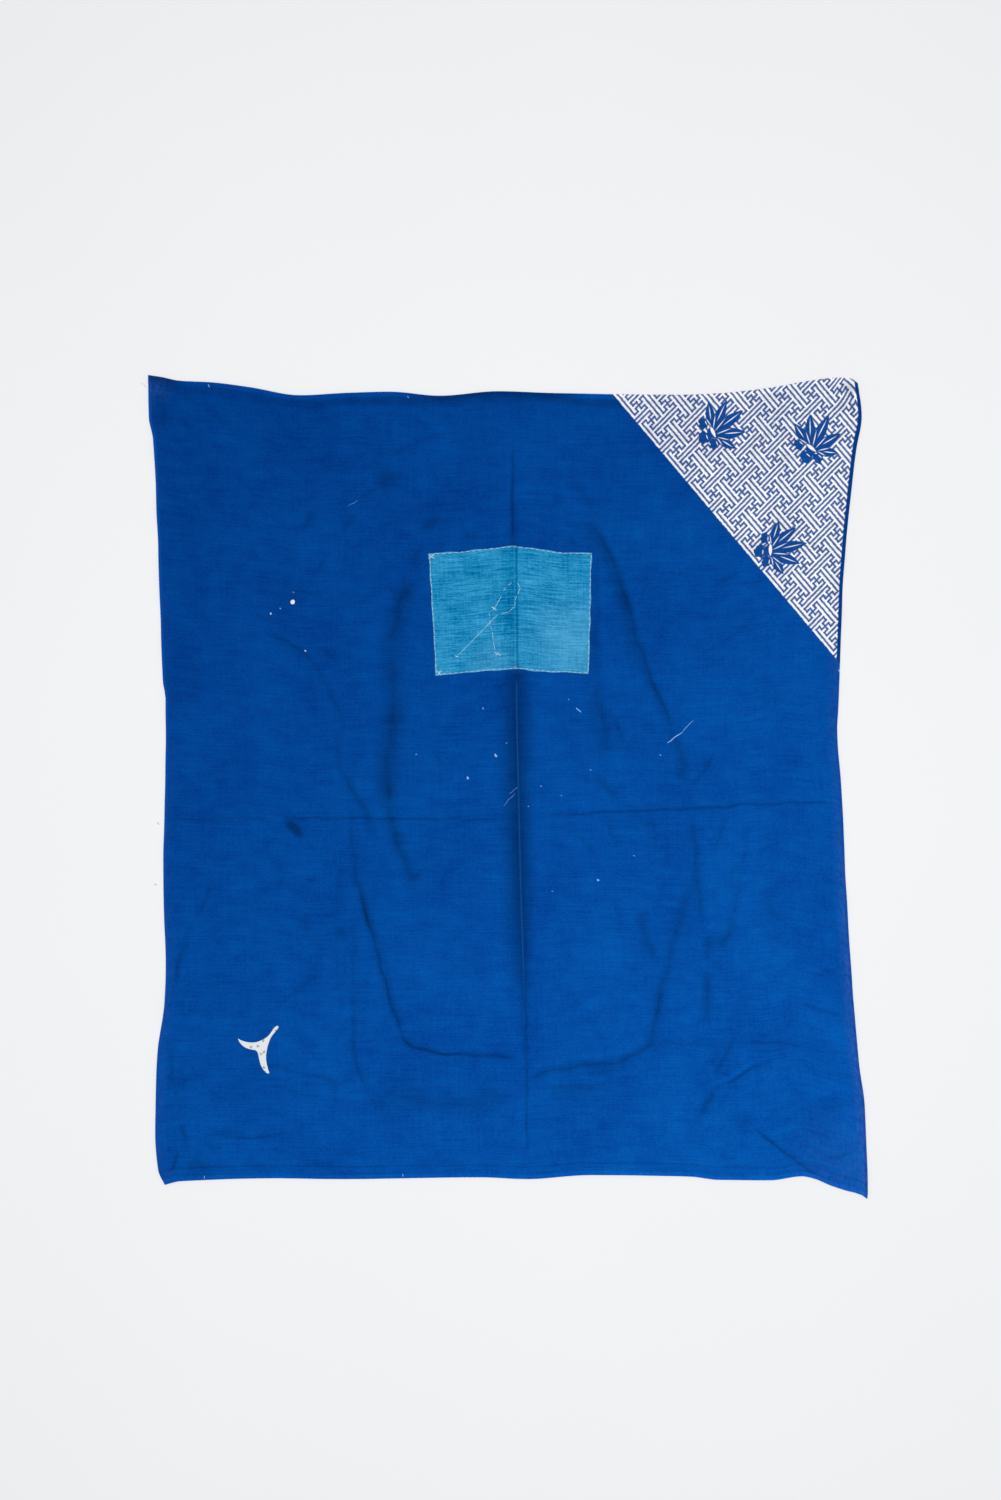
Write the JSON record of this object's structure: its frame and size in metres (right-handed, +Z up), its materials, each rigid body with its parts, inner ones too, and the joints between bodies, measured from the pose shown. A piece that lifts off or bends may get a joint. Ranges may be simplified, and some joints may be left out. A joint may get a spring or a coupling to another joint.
{
  "type": "furoshiki wrapping cloth",
  "caption": "Single-width cotton wrapping cloth lying open, with hemmed ends, a pressed ridge and drape folds, a sewn-on patch and a backed tear.",
  "frame": {"origin": "on the surface the cloth lies on, under the middle of its laid outline", "axes": "+X across the cloth from selvedge to selvedge, +Y along it towards the end with the patch and the fret corner, +Z up out of its face"},
  "size_m": [0.719, 0.823, 0.0123],
  "materials": {
    "blue_cotton": "dull, slubby plain weave, faded and worn",
    "pale_blue_cotton": "dull, slubby plain weave, mottled",
    "white_cotton": "dull plain weave with small grey motifs"
  },
  "bodies": {
    "root": {"furoshiki_cloth": "blue_cotton", "sewn_patch": "pale_blue_cotton", "tear_backing": "white_cotton"}
  },
  "joints": []
}
